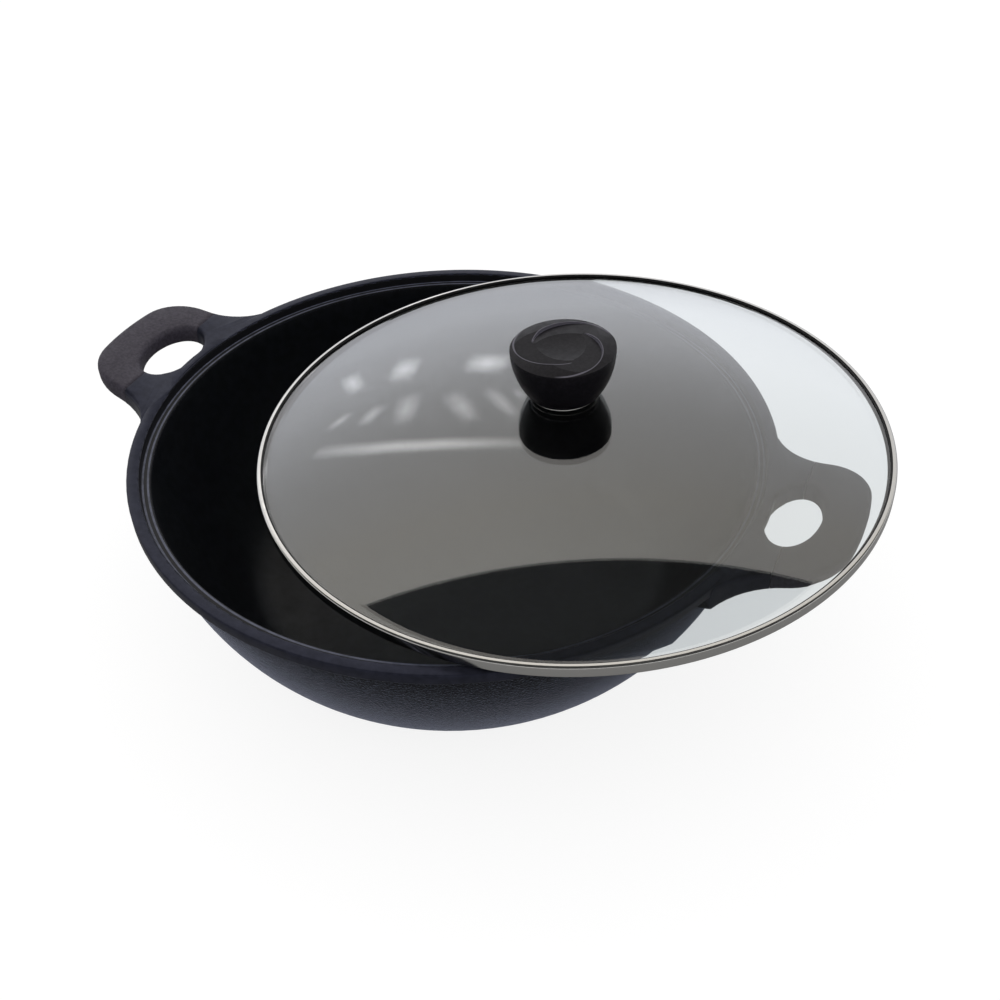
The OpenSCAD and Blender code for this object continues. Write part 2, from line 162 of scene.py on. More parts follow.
def fine_grain(tree, size_mm, strength, depth_mm):
    """The normal of a surface with an even grain, as a mould or a tool leaves it."""
    noise = add_node(tree, "TexNoise", {
        "Vector": add_node(tree, "TexCoord").outputs["Object"],
        "Scale": 1 / (size_mm * MM), "Detail": 2})
    return add_node(tree, "Bump", {
        "Height": noise, "Strength": strength, "Distance": depth_mm * MM})


def point_about(tree, place):
    """The point that is shaded, as a piece had it before it was put in place."""
    back = place.inverted()
    return add_node(tree, "Mapping", {
        "Vector": add_node(tree, "TexCoord").outputs["Object"],
        "Location": back.to_translation(), "Rotation": back.to_euler()})


def from_axis(tree, point):
    """A point's distance from the Z axis, and its parts along X, Y and Z."""
    parts = add_node(tree, "SeparateXYZ", {0: point}).outputs
    flat = add_node(tree, "CombineXYZ", {"X": parts["X"], "Y": parts["Y"]})
    radius = add_node(tree, "VectorMath", {0: flat}, operation="LENGTH").outputs["Value"]
    return radius, parts


def ring_lines(tree, place, spacing_mm, strength, depth_mm):
    """The normal of a surface with fine rings about a piece's axis."""
    radius, parts = from_axis(tree, point_about(tree, place))
    noise = add_node(tree, "TexNoise", {
        "Vector": add_node(tree, "CombineXYZ", {"X": radius, "Z": parts["Z"]}),
        "Scale": 1 / (spacing_mm * MM), "Detail": 3})
    return add_node(tree, "Bump", {
        "Height": noise, "Strength": strength, "Distance": depth_mm * MM})


print("patches take the noise's values from", MIDDLE[0], "to", MIDDLE[1])

# %% [markdown]
# ## The studio
# The wok stands on a pale floor. Black cookware shows its shape only through what it mirrors, so
# the light matters as much as the colour. One large soft wall of light stands behind it: the
# glass dome mirrors that wall in all but its nearest part, and that is the grey veil on the lid.
# The room overhead stays dim, which keeps the near part of the glass clear.
#
# The floor would have to be overlit to come out white. Instead the camera, also through glass,
# gets most of the floor's white as a glow of its own, and the shadow is kept, only paler. What
# mirrors the floor gets little of the glow, so that steel and coat keep their dark parts.

# %% Floor
FLOOR_SIZE = 12
FLOOR_COLOUR = "#bcbcbc"
FLOOR_GLOW = 0.85
GLOSS_GLOW = 0.1
FLOOR_SHARE = 0.2


def seen_rays(tree):
    """1 for camera, glossy and transmission rays, and 0 for the rays that only carry light."""
    rays = add_node(tree, "LightPath").outputs
    direct = add_node(
        tree, "Math", {0: rays["Is Camera Ray"], 1: rays["Is Glossy Ray"]}, operation="MAXIMUM")
    return add_node(
        tree, "Math", {0: direct, 1: rays["Is Transmission Ray"]}, operation="MAXIMUM")


def floor_paint():
    """Matt paint for the light, and mostly an even glow for what is seen."""
    material, tree = new_material("studio_floor")
    paint = add_node(tree, "BsdfDiffuse", {"Color": linear(FLOOR_COLOUR)})
    dull = add_node(tree, "BsdfDiffuse", {"Color": [FLOOR_SHARE] * 3 + [1]})
    rays = add_node(tree, "LightPath").outputs
    mirrored = add_node(
        tree, "Math", {0: rays["Is Glossy Ray"], 1: rays["Is Transmission Ray"]},
        operation="SUBTRACT")
    strength = add_node(
        tree, "MapRange", {"Value": mirrored, "To Min": FLOOR_GLOW, "To Max": GLOSS_GLOW})
    glow = add_node(tree, "Emission", {"Strength": strength})
    seen = add_node(tree, "AddShader", {0: dull, 1: glow})
    shade = add_node(tree, "MixShader", {"Fac": seen_rays(tree), 1: paint, 2: seen})
    return finish_material(material, shade)


bpy.ops.object.select_all(action="DESELECT")
bpy.ops.mesh.primitive_plane_add(size=FLOOR_SIZE)
floor = bpy.context.object
floor.name = "studio_floor"
floor.data.materials.append(floor_paint())
print("floor is", FLOOR_SIZE, "m across")

# %% [markdown]
# The world is plain in three ways. What only carries light gets an overhead sky, at a level at
# which a colour renders about as written. The camera gets white. Gloss and glass see a room that
# is white near the horizon, where its pale walls stand, and dim overhead, so every view mirrors
# the same room.

# %% World
SKY_LIGHT = 1.0
SKY_LOW = 0.15
SKY_FULL = 0.6
HORIZON_LIGHT = 1.0
ZENITH_LIGHT = 0.05
FADE_FROM = 0.14
FADE_TO = 0.3


def add_world():
    """An overhead sky for light, white for the camera, and a dim-roofed room for the rest."""
    world = bpy.data.worlds.new("studio")
    world.use_nodes = True
    tree = world.node_tree
    tree.nodes.clear()
    way = add_node(tree, "TexCoord").outputs["Generated"]
    height = add_node(tree, "SeparateXYZ", {0: way}).outputs["Z"]
    overhead = add_node(tree, "MapRange", {
        "Value": height, "From Max": SKY_FULL, "To Min": SKY_LOW, "To Max": SKY_LIGHT})
    fading = add_node(tree, "MapRange", {
        "Value": height, "From Min": FADE_FROM, "From Max": FADE_TO,
        "To Min": HORIZON_LIGHT, "To Max": ZENITH_LIGHT})
    sky = add_node(tree, "Background", {"Color": WHITE, "Strength": overhead})
    room = add_node(tree, "Background", {"Color": WHITE, "Strength": fading})
    white = add_node(tree, "Background", {"Color": WHITE, "Strength": 1.0})
    mirrored = add_node(tree, "MixShader", {"Fac": seen_rays(tree), 1: sky, 2: room})
    in_camera = add_node(tree, "LightPath").outputs["Is Camera Ray"]
    shade = add_node(tree, "MixShader", {"Fac": in_camera, 1: mirrored, 2: white})
    add_node(tree, "OutputWorld", {"Surface": shade})
    bpy.context.scene.world = world


add_world()
bpy.context.scene.view_settings.view_transform = "Standard"
print("the sky has a strength of", SKY_LIGHT, "overhead")

# %% [markdown]
# The wall of light is a plane that glows. It is dimmest at its foot and on its right, as a lit
# curtain is, and a little warmer towards its top. It stands square behind the lid as the camera
# sees it, and its place is counted from the lid, so the dome mirrors the same part of it.

# %% Wall of light
LID_CENTRE = (Vector(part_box("lid_band")[0]) + Vector(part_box("lid_band")[1])) / 2
WALL_TURN = math.radians(25.5)
WALL_DISTANCE = 1.3
WALL_TOP = 3.485
WALL_WIDTH = 5.6
WALL_RADIANCE = 1.2
COOL_LIGHT = "#f6f8ff"
COOL_UP = 0.2
WARM_LIGHT = "#fffaf2"
WARM_UP = 2.2
# Heights on the wall and places across it, in metres, with the share of the glow at each
WALL_UPS = {0.0: 0.65, 0.12: 0.7, 0.3: 0.9, 0.6: 1.0, 1.2: 0.9, WALL_TOP: 1.0}
WALL_ACROSS = {-WALL_WIDTH / 2: 1.0, -0.6: 1.0, 0.5: 0.9, 1.2: 0.8, WALL_WIDTH / 2: 0.75}

wall_across = Vector((math.cos(WALL_TURN), math.sin(WALL_TURN), 0))
wall_away = Vector((-math.sin(WALL_TURN), math.cos(WALL_TURN), 0))
wall_foot = Vector((LID_CENTRE.x, LID_CENTRE.y, 0)) + wall_away * WALL_DISTANCE


def on_wall(across, up, ahead=0.0):
    """The place on the wall that many metres right of its middle and up, or ahead of it."""
    return wall_foot + wall_across * across + Vector((0, 0, up)) - wall_away * ahead


print("the wall's foot is at", [round(c, 2) for c in wall_foot])

# %% [markdown]
# Each lamp of the studio, the wall among them, is a sheet that glows. The camera doesn't see it,
# and it casts no shadow. Its glow is stored at the points of its mesh, and Blender blends it
# between them, so a few points are enough for a soft edge.

# %% Glowing sheets


def add_lamp(name, rows, glow, material):
    """A glowing sheet from rows of points, with a glow value from 0 to 1 at each point."""
    count = len(rows[0])
    corners = [i * count + j for i in range(len(rows) - 1) for j in range(count - 1)]
    faces = [(corner, corner + 1, corner + count + 1, corner + count) for corner in corners]
    mesh = bpy.data.meshes.new(name)
    mesh.from_pydata([point for row in rows for point in row], [], faces)
    share = mesh.attributes.new("glow", "FLOAT", "POINT")
    share.data.foreach_set("value", [value for row in glow for value in row])
    mesh.materials.append(material)
    lamp = bpy.data.objects.new(name, mesh)
    bpy.context.scene.collection.objects.link(lamp)
    lamp.visible_camera = False
    lamp.visible_shadow = False


def lamp_glow(name, radiance, power, clear):
    """A glow whose strength follows the glow value, over what is behind it where it is clear."""
    material, tree = new_material(name)
    share = add_node(tree, "Attribute", attribute_name="glow").outputs["Fac"]
    curve = add_node(tree, "Math", {0: share, 1: power}, operation="POWER")
    strength = add_node(tree, "MapRange", {"Value": curve, "To Max": radiance})
    point = add_node(tree, "TexCoord").outputs["Object"]
    height = add_node(tree, "SeparateXYZ", {0: point}).outputs["Z"]
    warmth = add_node(
        tree, "MapRange", {"Value": height, "From Min": COOL_UP, "From Max": WARM_UP})
    colour = add_node(
        tree, "Mix", {0: warmth, 6: linear(COOL_LIGHT), 7: linear(WARM_LIGHT)}, data_type="RGBA")
    shader = add_node(tree, "Emission", {"Color": colour.outputs[2], "Strength": strength})
    if clear:
        shader = add_node(tree, "AddShader", {0: shader, 1: add_node(tree, "BsdfTransparent")})
    return finish_material(material, shader)


add_lamp(
    "wall_light",
    [[on_wall(across, up) for across in WALL_ACROSS] for up in WALL_UPS],
    [[share * side for side in WALL_ACROSS.values()] for share in WALL_UPS.values()],
    lamp_glow("lit_curtain", WALL_RADIANCE, 1.0, False))
print("wall of light is", WALL_TOP, "m high")

# %% [markdown]
# The bright spots and streaks on the dome are small lamps in front of the wall. Each one is a
# strip that glows along its middle and fades to its edges and ends, and the wall shines through.

# %% Lamps in front of the wall
LAMP_AHEAD = 0.02
LAMP_POWER = 1.2
LEG_STEPS = 4
# A lamp's section: places across it, as shares of its half width, with the glow at each
LAMP_SECTION = {-1: 0, -0.5: 0.6, 0: 1, 0.5: 0.6, 1: 0}
LONG_LAMP_STEPS = 8
LONG_LAMP_FADE = 2.5
LONG_WAY = [
    (-0.955, 0.895), (-0.932, 0.924), (-0.785, 1.085), (-0.606, 1.227), (-0.413, 1.343),
    (-0.18, 1.445), (0, 1.5)]
# One row per lamp: its way across the wall in metres, its width in metres and its strength
LAMPS = [
    ([(-0.58, 0.43), (-0.615, 0.61)], 0.085, 1.15),
    ([(-0.485, 0.545), (-0.395, 0.60)], 0.21, 1.3),
    ([(-0.275, 0.655), (-0.13, 0.738)], 0.17, 1.6),
    ([(-0.82, 0.785), (-0.69, 0.73)], 0.055, 1.0),
    ([(-0.72, 0.88), (-0.59, 0.77)], 0.075, 1.0),
    ([(-0.595, 1.01), (-0.48, 0.76)], 0.11, 1.0),
    ([(-0.368, 0.84), (-0.345, 1.17)], 0.11, 1.0),
    ([(-0.25, 0.87), (-0.175, 1.21)], 0.08, 0.9),
    ([(-0.155, 0.93), (-0.125, 1.05)], 0.05, 0.6),
    (LONG_WAY, 0.14, 1.7)]


def middle_line(way):
    """Points along the middle of a lamp, a few to each leg of its way."""
    points = [Vector(point) for point in way]
    line = points[:1]
    for here, there in zip(points, points[1:]):
        line += [here.lerp(there, step / LEG_STEPS) for step in range(1, LEG_STEPS + 1)]
    return line


def half_widths(line, width):
    """Half the lamp's width at each point of its line, as a vector square to the line."""
    last = len(line) - 1
    ways = [line[min(i + 1, last)] - line[max(i - 1, 0)] for i in range(last + 1)]
    return [Vector((-way.y, way.x)).normalized() * width / 2 for way in ways]


def end_fades(last):
    """The glow along a lamp. A long one fades near its ends, and a short one all the way."""
    if last > LONG_LAMP_STEPS:
        return [min(1, LONG_LAMP_FADE * min(i, last - i) / last) for i in range(last + 1)]
    return [math.sin(math.pi * i / last) for i in range(last + 1)]


for number, (way, width, strength) in enumerate(LAMPS):
    name = "lamp_%d" % number
    line = middle_line(way)
    rows = [
        [on_wall(*(point + place * half), LAMP_AHEAD) for place in LAMP_SECTION]
        for point, half in zip(line, half_widths(line, width))]
    glow = [[fade * share for share in LAMP_SECTION.values()] for fade in end_fades(len(line) - 1)]
    add_lamp(name, rows, glow, lamp_glow(name, strength, LAMP_POWER, True))
print(len(LAMPS), "lamps in front of the wall")

# %% [markdown]
# ## Modelling helpers
# Operators act on all that is selected, so each step starts by clearing the selection. A piece
# is modelled upright about its own axis, where its sizes are easy to read, and then put in place.

# %% Selecting and placing


def clear_selection():
    """Leaves edit mode and deselects every object."""
    if bpy.context.object and bpy.context.object.mode != "OBJECT":
        bpy.ops.object.mode_set(mode="OBJECT")
    bpy.ops.object.select_all(action="DESELECT")


def make_active(piece):
    """Selects one object alone and makes it active."""
    clear_selection()
    piece.select_set(True)
    bpy.context.view_layer.objects.active = piece


def about(axis, angle):
    """A turn about an axis, by an angle in radians."""
    return Matrix.Rotation(angle, 4, axis)


def up(height_mm):
    """A move up by a height in millimetres."""
    return Matrix.Translation((0, 0, height_mm * MM))


def put(piece, place):
    """Moves a piece modelled about its own axis to its place, and applies the place to its mesh."""
    make_active(piece)
    piece.matrix_world = place @ piece.matrix_world
    bpy.ops.object.transform_apply(location=True, rotation=True, scale=True)


clear_selection()
print(len(bpy.context.selected_objects), "objects are selected")

# %% [markdown]
# Everything that was turned on a lathe or pressed between round tools is modelled the same way:
# one vertex is put at the start of the section, extruded along it and spun round the axis.

# %% Turned pieces
TURN_STEPS = 240
MERGE = 0.001 * MM


def arc(centre, radius, start, end, steps):
    """Points of an arc in section, in degrees from the outward direction, both ends included."""
    angles = [math.radians(start + (end - start) * i / steps) for i in range(steps + 1)]
    return [(centre[0] + radius * math.cos(a), centre[1] + radius * math.sin(a)) for a in angles]


def trace(name, outline, closed):
    """Extrudes one vertex along an outline of (radius, height) points in millimetres."""
    clear_selection()
    bpy.ops.mesh.primitive_plane_add(size=MM)
    piece = bpy.context.object
    piece.name = name
    piece.data.name = name
    bpy.ops.object.mode_set(mode="EDIT")
    bpy.ops.mesh.merge(type="CENTER")
    bpy.ops.transform.translate(value=(outline[0][0] * MM, 0, outline[0][1] * MM))
    ends = outline[1:] + (outline[:1] if closed else [])
    for here, there in zip(outline, ends):
        step = ((there[0] - here[0]) * MM, 0, (there[1] - here[1]) * MM)
        bpy.ops.mesh.extrude_region_move(TRANSFORM_OT_translate={"value": step})
    bpy.ops.object.mode_set(mode="OBJECT")
    return piece


def turn(name, outline, closed=True):
    """Spins an outline round Z and closes the seam. An open one starts and ends on the axis."""
    piece = trace(name, outline, closed)
    bpy.ops.object.mode_set(mode="EDIT")
    bpy.ops.mesh.select_all(action="SELECT")
    bpy.ops.mesh.spin(steps=TURN_STEPS, angle=2 * math.pi, center=(0, 0, 0), axis=(0, 0, 1))
    bpy.ops.mesh.select_all(action="SELECT")
    bpy.ops.mesh.remove_doubles(threshold=MERGE)
    bpy.ops.mesh.normals_make_consistent(inside=False)
    bpy.ops.object.mode_set(mode="OBJECT")
    return piece


print("turned pieces get", TURN_STEPS, "steps")

# %% [markdown]
# Holes and crescents are cut by a round tool on the real pieces, so a cylinder and a Boolean
# modifier cut them here. Each modifier is applied at once, so the next step works on its result.

# %% Cutting, smoothing and dressing
SMOOTH_BELOW = 35
HOLE_STEPS = 96


def cylinder(diameter, length, steps, place):
    """A cylinder of a diameter and a length in millimetres, about its middle, put at a place."""
    clear_selection()
    bpy.ops.mesh.primitive_cylinder_add(
        vertices=steps, radius=diameter / 2 * MM, depth=length * MM)
    piece = bpy.context.object
    put(piece, place)
    return piece


def cut_away(piece, cutter):
    """Cuts one piece out of another by a Boolean modifier, and deletes the cutter."""
    make_active(piece)
    modifier = piece.modifiers.new("cut", "BOOLEAN")
    modifier.operation = "DIFFERENCE"
    modifier.solver = "EXACT"
    modifier.object = cutter
    bpy.ops.object.modifier_apply(modifier=modifier.name)
    bpy.data.objects.remove(cutter)


def smooth(piece, degrees=SMOOTH_BELOW):
    """Shades a piece smooth across edges that turn by less than the angle."""
    make_active(piece)
    bpy.ops.object.shade_smooth_by_angle(angle=math.radians(degrees))


def dress(piece, material, body, node):
    """Gives a piece its material, and lets it ride in a node's stead."""
    if material:
        piece.data.materials.append(material)
    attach(piece, body)
    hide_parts(node)
    print(piece.name, "has", len(piece.data.polygons), "faces")


print("edges that turn by under", SMOOTH_BELOW, "degrees are shaded smooth")

# %% [markdown]
# The frame says where the leaning lid lies: the band is round, so the middle of its box is on the
# lid's axis, and the height of its box is what the lean adds to its own height. The knob stands
# square to the glass a little way down from the crown, so its pieces are turned once more, about
# the middle of the dome's curve.

# %% Where the lid and its knob lie
LID_R = 163
BAND_H = 6.4
LID_TURN = math.radians(14)
KNOB_OUT = 3
GLASS_T = 4
GLASS_R = 161.8
GLASS_LOW = 1.2
DOME_H = 24.4
MARGIN_W = 3.3

dome_r = GLASS_R - MARGIN_W
dome_bow = (dome_r**2 + DOME_H**2) / (2 * DOME_H)
margin_top = GLASS_LOW + GLASS_T
crown_z = margin_top + DOME_H
dome_c = (0, crown_z - dome_bow)

band_low, band_high = [Vector(corner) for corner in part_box("lid_band")]
box_height = (band_high.z - band_low.z) / MM
band_corner = math.hypot(2 * LID_R, BAND_H)
lid_lean = math.asin(box_height / band_corner) - math.atan2(BAND_H, 2 * LID_R)
lean_turn = about("Z", LID_TURN) @ about("Y", -lid_lean) @ about("Z", -LID_TURN)
lid_place = Matrix.Translation((band_low + band_high) / 2) @ lean_turn @ up(-BAND_H / 2)

low_side = about("Z", LID_TURN + math.pi)
dome_middle = up(dome_c[1])
knob_tilt = about("Y", math.asin(KNOB_OUT / dome_bow))
knob_place = (
    lid_place @ low_side @ dome_middle @ knob_tilt @ dome_middle.inverted() @ low_side.inverted())
print("lid leans by", round(math.degrees(lid_lean), 2), "degrees")

# %% [markdown]
# ## The glass dome
# The dome is a sheet of soda-lime glass, pressed hot over a mould and tempered. It has a flat
# margin for the band and one even curve. A faceted dome would break up every reflection, so it
# is turned with many steps and shaded smooth. The hole for the knob's screw is cut last.

# %% Glass dome
GLASS_HOLE_D = 10
DOME_STEPS = 48
EDGE_GRIND = 0.6


def dome_arc(radius, height):
    """Points of an arc of the dome, from the axis out to where it meets a height."""
    end = math.degrees(math.asin((height - dome_c[1]) / radius))
    return arc(dome_c, radius, 90, end, DOME_STEPS)


glass_outline = (
    dome_arc(dome_bow, margin_top)
    + [(GLASS_R - EDGE_GRIND, margin_top), (GLASS_R, margin_top - EDGE_GRIND)]
    + [(GLASS_R, GLASS_LOW + EDGE_GRIND), (GLASS_R - EDGE_GRIND, GLASS_LOW)]
    + dome_arc(dome_bow - GLASS_T, GLASS_LOW)[::-1])
glass = turn("lid_glass_dome", glass_outline, closed=False)
put(glass, lid_place)
cut_away(glass, cylinder(GLASS_HOLE_D, 4 * GLASS_T, HOLE_STEPS, knob_place @ up(crown_z)))
smooth(glass)
print("the dome's curve has a radius of", round(dome_bow), "mm")

# %% [markdown]
# Tempered soda-lime glass is clear with a faint grey tint, and hard and sharp in its gloss. Its
# coat stands for the gloss of the fire-polished skin, which mirrors the lit curtain as a veil.

# %% Tempered glass
GLASS_TINT = "#dfe4e6"
GLASS_IOR = 1.52


def tempered_glass():
    """Clear glass with a sharp gloss."""
    material, tree = new_material("tempered_soda_lime_glass")
    shader = add_node(tree, "BsdfPrincipled", {
        "Base Color": linear(GLASS_TINT), "Roughness": 0.0, "IOR": GLASS_IOR,
        "Transmission Weight": 1.0, "Coat Weight": 1.0, "Coat Roughness": 0.0,
        "Coat IOR": GLASS_IOR})
    return finish_material(material, shader)


dress(glass, tempered_glass(), "lid", "lid_glass")

# %% [markdown]
# ## The steel band and its seal
# The band is a strip of stainless steel rolled round the edge of the glass. Its lips turn over
# the glass with a small radius, which is where the bright lines come from.

# %% Steel band
BAND_T = 0.6
BAND_LIP = 2.3
BAND_FOOT = 4.6
BAND_ROLL = 1.3
ROLL_STEPS = 8

band_outline = (
    arc((LID_R - BAND_ROLL, BAND_ROLL), BAND_ROLL, -90, 0, ROLL_STEPS)
    + arc((LID_R - BAND_ROLL, BAND_H - BAND_ROLL), BAND_ROLL, 0, 90, ROLL_STEPS)
    + [(LID_R - BAND_LIP, BAND_H), (LID_R - BAND_LIP, BAND_H - BAND_T)]
    + [(LID_R - BAND_T, BAND_H - BAND_T), (LID_R - BAND_T, BAND_T)]
    + [(LID_R - BAND_FOOT, BAND_T), (LID_R - BAND_FOOT, 0)])
band = turn("lid_steel_band", band_outline)
put(band, lid_place)
smooth(band)
print("the band's section has", len(band_outline), "points")

# %% [markdown]
# Between steel and glass lies a black silicone seal. It fills the band's channel, so its section
# follows the band's sizes and the glass's, and a thin line of it shows inside the upper lip.

# %% Silicone seal
SEAL_SHOW = 0.8

seal_in = LID_R - BAND_LIP - SEAL_SHOW
seal_out = LID_R - BAND_T
foot_in = LID_R - BAND_FOOT
seal_top = BAND_H - BAND_T

seal_outline = [
    (GLASS_R, GLASS_LOW), (GLASS_R, margin_top), (seal_in, margin_top), (seal_in, seal_top),
    (seal_out, seal_top), (seal_out, BAND_T), (foot_in, BAND_T), (foot_in, GLASS_LOW)]
seal = turn("lid_silicone_seal", seal_outline)
put(seal, lid_place)
smooth(seal)
print("the seal shows", SEAL_SHOW, "mm wide")

# %% [markdown]
# Rolled stainless strip is polished before it is bent. What is left of the rolling is a set of
# fine lines along the strip, which blur its reflections across the band and not along it. The
# lines here are rings round the lid's axis, so the pattern reads only the height and the radius
# on the lid. Real ones are a few hundredths of a millimetre apart, which is too fine to show, so
# they are drawn coarser. The seal is moulded silicone, matt, with a trace of dust.

# %% Polished steel and silicone
STEEL_COLOUR = "#c9c8c5"
STEEL_ROUGH = (0.14, 0.22)
STEEL_PATCH_MM = 6
ROLL_LINE_MM = 0.25
ROLL_LINE_BUMP = 0.12
ROLL_LINE_DEPTH = 0.02
RUBBER_COLOUR = "#0e0e10"
DUSTY_COLOUR = "#18181a"
DUST_MM = 2
DUST_SPAN = (0.4, 0.7)


def polished_steel():
    """Bright rolled stainless strip with fine lines along the roll."""
    material, tree = new_material("polished_stainless_steel")
    shader = add_node(tree, "BsdfPrincipled", {
        "Base Color": linear(STEEL_COLOUR), "Metallic": 1.0,
        "Roughness": uneven(tree, STEEL_PATCH_MM, ends=STEEL_ROUGH),
        "Normal": ring_lines(tree, lid_place, ROLL_LINE_MM, ROLL_LINE_BUMP, ROLL_LINE_DEPTH)})
    return finish_material(material, shader)


def silicone():
    """Black silicone rubber, moulded and matt, with a trace of dust."""
    material, tree = new_material("moulded_black_silicone")
    dust = uneven(tree, DUST_MM, span=DUST_SPAN)
    colour = add_node(
        tree, "Mix", {0: dust, 6: linear(RUBBER_COLOUR), 7: linear(DUSTY_COLOUR)},
        data_type="RGBA").outputs[2]
    shader = add_node(
        tree, "BsdfPrincipled", {"Base Color": colour, "Roughness": 0.6, "IOR": 1.43})
    return finish_material(material, shader)


steel = polished_steel()
rubber = silicone()
dress(band, steel, "lid", "lid_band")
dress(seal, rubber, "lid", "lid_seal")

# %% [markdown]
# ## The knob
# The knob is one phenolic moulding: a bowed side that widens to a sharp edge, and a low crown
# with a swirl of three crescents round a shallow dimple. The body is turned. Each crescent is
# what a tilted round cutter takes out of the crown, so the cutter is a cylinder, and a shallow
# turned cap cuts the dimple. That gives crisp ridges that taper away, which is what the mould
# has and what a painted bump can't give.

# %% Knob body
KNOB_D = 53
KNOB_H = 24.6
KNOB_BOW = 42
CROWN_H = 3.4
KNOB_EDGE = 0.5
EDGE_IN_SHARE = 0.15
EDGE_UP_SHARE = 0.1
SIDE_STEPS = 30
CROWN_STEPS = 20
COLLAR_H = 1.6
GASKET_T = 0.8

knob_r = KNOB_D / 2
foot_z = crown_z + GASKET_T + COLLAR_H
edge_z = foot_z + KNOB_H
crown_bow = (knob_r**2 + CROWN_H**2) / (2 * CROWN_H)
crown_c = (0, edge_z + CROWN_H - crown_bow)
side_c = (knob_r - KNOB_BOW, edge_z)
side_low = -math.degrees(math.asin(KNOB_H / KNOB_BOW))
crown_end = math.degrees(math.acos((knob_r - KNOB_EDGE) / crown_bow))
side_end = -math.degrees(math.asin(KNOB_EDGE / KNOB_BOW))

knob_outline = (
    [(0, foot_z)]
    + arc(side_c, KNOB_BOW, side_low, side_end, SIDE_STEPS)
    + [(knob_r - EDGE_IN_SHARE * KNOB_EDGE, edge_z + EDGE_UP_SHARE * KNOB_EDGE)]
    + arc(crown_c, crown_bow, crown_end, 90, CROWN_STEPS))
knob = turn("lid_knob", knob_outline, closed=False)
print("the knob's section has", len(knob_outline), "points")

# %% Swirl, dimple and pocket
SWIRL_COUNT = 3
SWIRL_D = 41
SWIRL_TILT = math.radians(5)
SWIRL_TURN = 40
SWIRL_LAND = 0.5
CUTTER_STEPS = 256
DIMPLE_D = 34
DIMPLE_DEPTH = 1.8
DIMPLE_SPAN = 16
DIMPLE_STEPS = 24
INSERT_D = 9
INSERT_L = 12

swirl_out = knob_r - SWIRL_LAND - SWIRL_D / 2


def swirl_angle(number):
    """The way round the knob of one crescent, in radians."""
    return math.radians(SWIRL_TURN + number * 360 / SWIRL_COUNT)


def crescent_cutter(number):
    """A cylinder, tilted and set off the axis, whose flat end cuts one crescent of the swirl."""
    off_axis = Matrix.Translation((swirl_out * MM, 0, (edge_z + CROWN_H / 2) * MM))
    place = about("Z", swirl_angle(number)) @ off_axis @ about("X", -SWIRL_TILT) @ up(KNOB_H / 2)
    return cylinder(SWIRL_D, KNOB_H, CUTTER_STEPS, place)


for number in range(SWIRL_COUNT):
    cut_away(knob, crescent_cutter(number))
dimple_bow = (DIMPLE_D**2 / 4 + DIMPLE_DEPTH**2) / (2 * DIMPLE_DEPTH)
dimple_c = (0, edge_z + CROWN_H / 2 - DIMPLE_DEPTH + dimple_bow)
dimple_cap = arc(dimple_c, dimple_bow, -90, DIMPLE_SPAN - 90, DIMPLE_STEPS)
cut_away(knob, turn("dimple", dimple_cap + [(0, dimple_cap[-1][1])], closed=False))
cut_away(knob, cylinder(INSERT_D, 2 * INSERT_L, HOLE_STEPS, up(foot_z)))
print("the knob has", len(knob.data.polygons), "faces after its cuts")

# %% [markdown]
# The knob's crests turn by only a few degrees, so it is shaded smooth up to a small angle: the
# crests then stay crisp, and the bowed side and the crown still look round.

# %% Knob in place
KNOB_SMOOTH = 2.6

put(knob, knob_place)
smooth(knob, KNOB_SMOOTH)
print("knob's crests turn by more than", KNOB_SMOOTH, "degrees")

# %% [markdown]
# A steel ring and a silicone gasket lie between knob and glass. The ring's edges are rolled and
# its side leans in a little, which gives it the thin bright line under the knob. The gasket has a
# sleeve through the hole, so that steel never touches glass.

# %% Collar and gasket
COLLAR_D = 35
COLLAR_LEAN = 0.35
COLLAR_SHOULDER = 20
COLLAR_STEPS = 6
GASKET_D = 31
SCREW_R = 2.55
PLUG_R = 4.85

collar_z = crown_z + GASKET_T
collar_round = COLLAR_H / 4
low_round_c = (COLLAR_D / 2 - collar_round, collar_z + collar_round)
top_round_c = (COLLAR_D / 2 - COLLAR_LEAN - collar_round, foot_z - collar_round)

collar_outline = (
    [(SCREW_R, collar_z)]
    + arc(low_round_c, collar_round, -90, 0, COLLAR_STEPS)
    + arc(top_round_c, collar_round, COLLAR_SHOULDER, 90, COLLAR_STEPS)
    + [(SCREW_R, foot_z)])
collar = turn("knob_steel_collar", collar_outline)
put(collar, knob_place)
smooth(collar)
gasket_outline = [
    (SCREW_R, crown_z - GLASS_T), (PLUG_R, crown_z - GLASS_T), (PLUG_R, crown_z),
    (GASKET_D / 2, crown_z), (GASKET_D / 2, collar_z), (SCREW_R, collar_z)]
gasket = turn("knob_silicone_gasket", gasket_outline)
put(gasket, knob_place)
smooth(gasket)
print("the collar shows", COLLAR_H, "mm high")

# %% [markdown]
# The crests of the swirl are painted lighter: a painted highlight for the light that a rounded
# crest catches. Each crest is an arc of one cutter's circle, on the side where the cut is deep, so
# the painted highlight is drawn from the same circles in the knob's own frame. It ends at the
# crown, because the circles go on down the knob's side.

# %% Painted crest highlights
CREST_LINE_W = 0.45
CREST_HIGHLIGHT_COLOUR = "#5b5962"
# Spans in millimetres over which the painted highlight sets in: how much deeper one cut is than
# the next, and how far a point is along the cut's deep side
DEEPER_SPAN = (0.5, 4)
DEEP_SPAN = (1, 6)
# The painted highlight starts this far below the crown's edge, and is full a little higher
CROWN_FROM = 0.5
CROWN_FULL = 0.1


